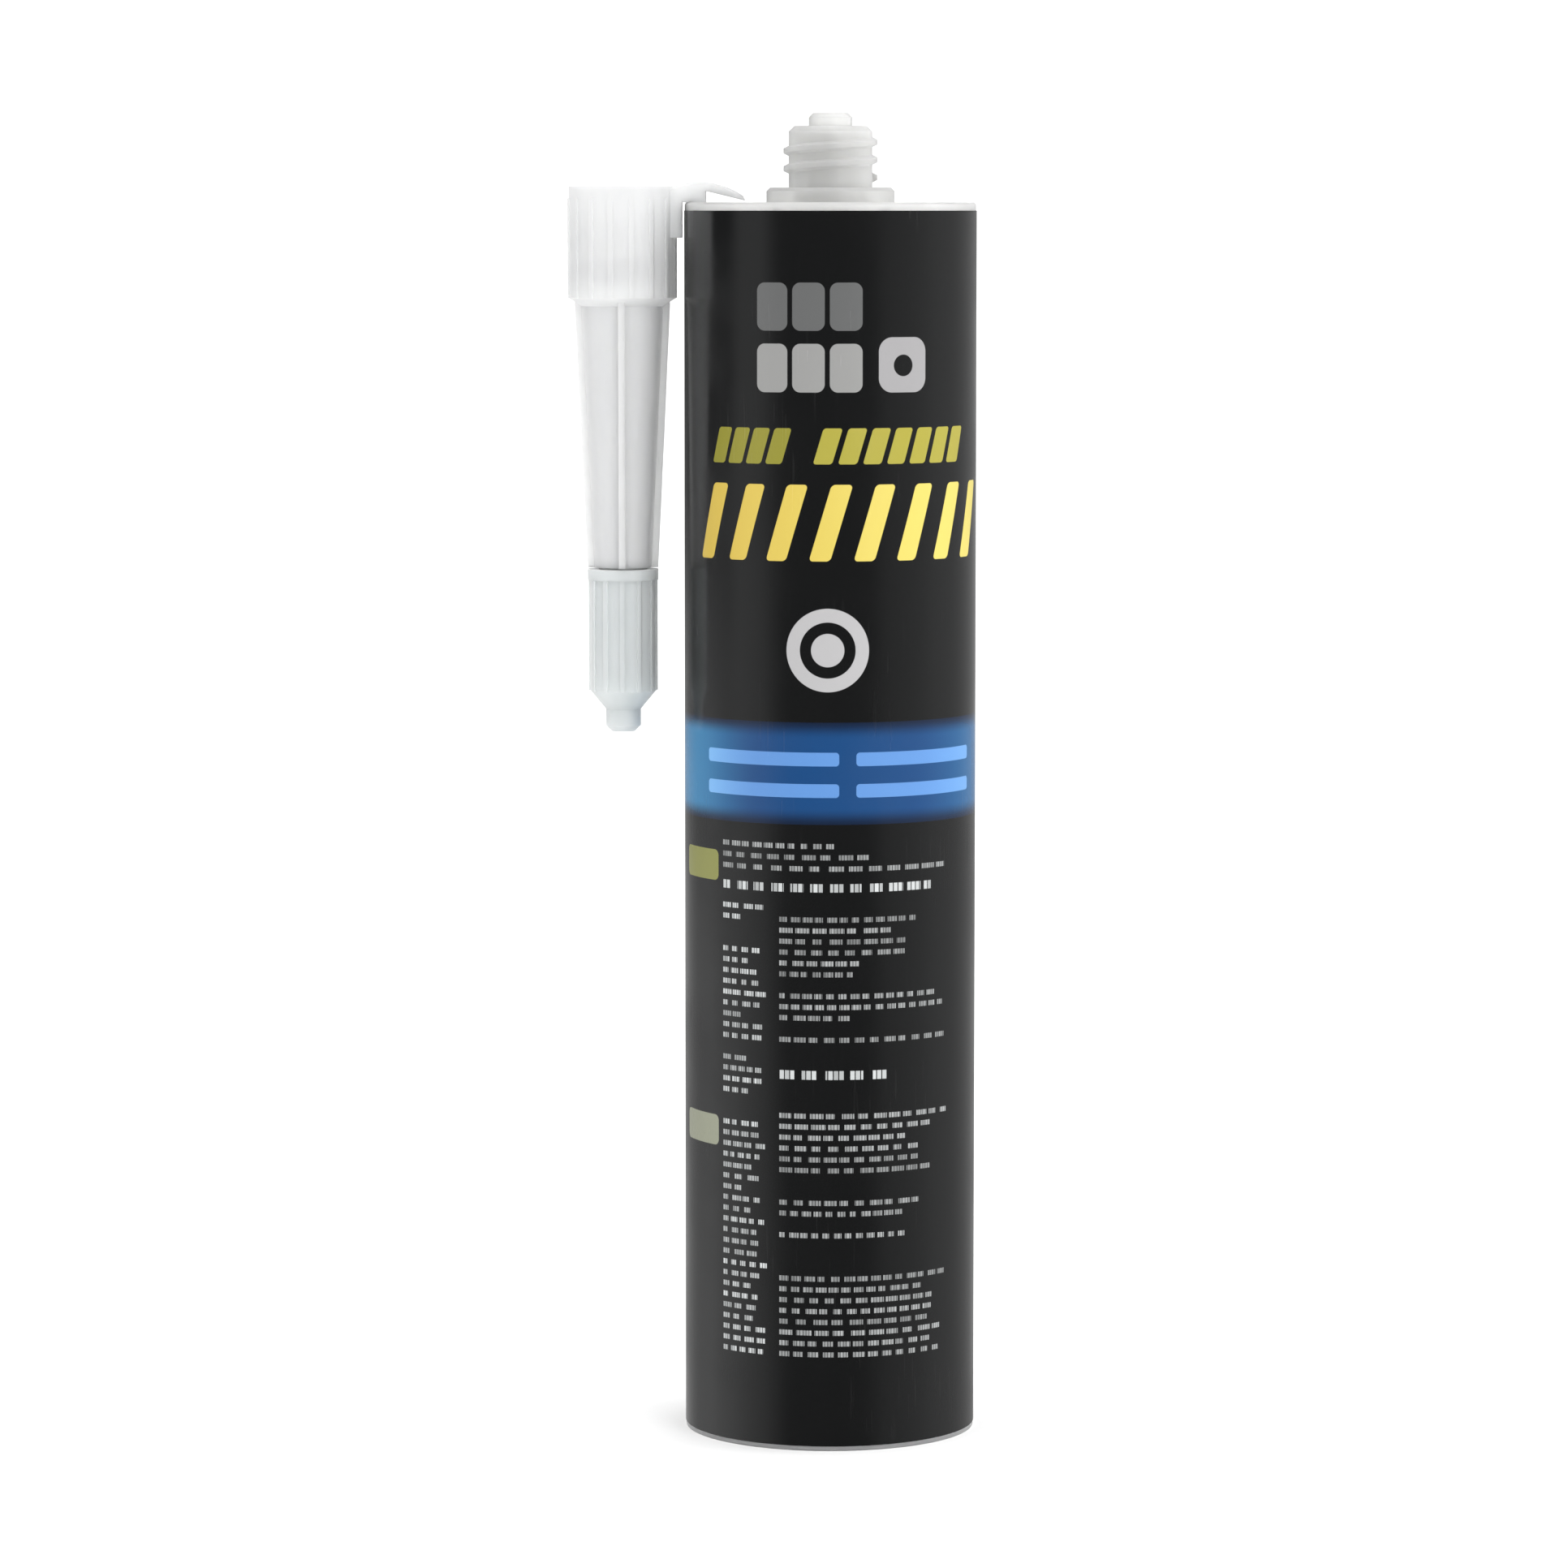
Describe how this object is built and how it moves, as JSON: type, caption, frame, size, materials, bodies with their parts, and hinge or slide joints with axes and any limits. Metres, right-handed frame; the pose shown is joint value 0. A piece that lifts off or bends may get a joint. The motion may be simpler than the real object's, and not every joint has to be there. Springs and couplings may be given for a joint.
{
  "type": "caulk tube",
  "caption": "Upright sealant cartridge with a printed label, a threaded spout, a sliding piston and a capped nozzle hooked over its rim.",
  "frame": {"origin": "centre of the open rear edge, on the tube's axis", "axes": "+Z along the tube from the open rear to the spout; the nozzle hangs on the -X side; -Y is the front"},
  "size_m": [0.0696, 0.0499, 0.2256],
  "materials": {
    "milky_polythene": "milky translucent polythene, smooth moulded",
    "label_film": "glossy printed film, black with a blue band",
    "paste": "dark paste, wet sheen",
    "piston_plastic": "natural polythene, moulded",
    "nozzle_plastic": "frosted translucent polythene",
    "cap_plastic": "frosted translucent polythene, slightly darker than the nozzle"
  },
  "bodies": {
    "cartridge": {"barrel": "milky_polythene", "label": "label_film", "sealant": "paste"},
    "piston": {"piston": "piston_plastic"},
    "nozzle": {"nozzle": "nozzle_plastic"},
    "cap": {"nozzle_cap": "cap_plastic"}
  },
  "joints": [
    {"name": "piston_slide", "type": "slide", "parent": "cartridge", "child": "piston", "axis": [0, 0, 1], "range_m": [0, 0.1768], "deforming": ["sealant"]},
    {"name": "nozzle_lift", "type": "slide", "parent": "cartridge", "child": "nozzle", "axis": [0, 0, 1], "range_m": [0, 0.095]},
    {"name": "cap_pull", "type": "slide", "parent": "nozzle", "child": "cap", "axis": [0, 0, -1], "range_m": [0, 0.03]}
  ]
}
